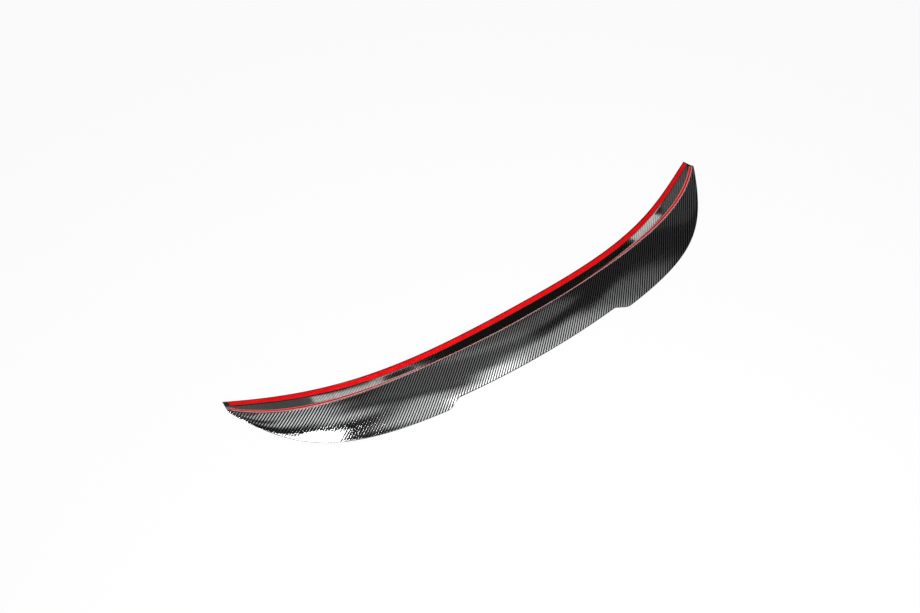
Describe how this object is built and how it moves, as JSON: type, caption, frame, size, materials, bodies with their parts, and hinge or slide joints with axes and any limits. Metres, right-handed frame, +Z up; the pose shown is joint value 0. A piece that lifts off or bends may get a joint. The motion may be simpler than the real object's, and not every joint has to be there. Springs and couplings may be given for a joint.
{
  "type": "car rear spoiler",
  "caption": "Swept boot-lid lip moulding with a concave bonding face edged by film-covered tape strips and a kicked rear face whose trailing edge is notched in the middle.",
  "frame": {"origin": "middle of the part's footprint, on the table that it lies on", "axes": "+X across the car, +Y towards the leading edge and the car's nose, +Z up from the table and out of the bonding face; the part lies upside down, as pictured, and is turned over to be fitted"},
  "size_m": [1.18, 0.2458, 0.0388],
  "materials": {
    "carbon_gloss": "clear-coated carbon-fibre twill",
    "tape_foam": "matt dark foam of a double-sided bonding tape",
    "red_film": "glossy red peel-off film"
  },
  "bodies": {
    "root": {"spoiler_shell": "carbon_gloss", "front_tape": "tape_foam", "front_film": "red_film", "rear_tape": "tape_foam", "rear_film": "red_film"}
  },
  "joints": []
}
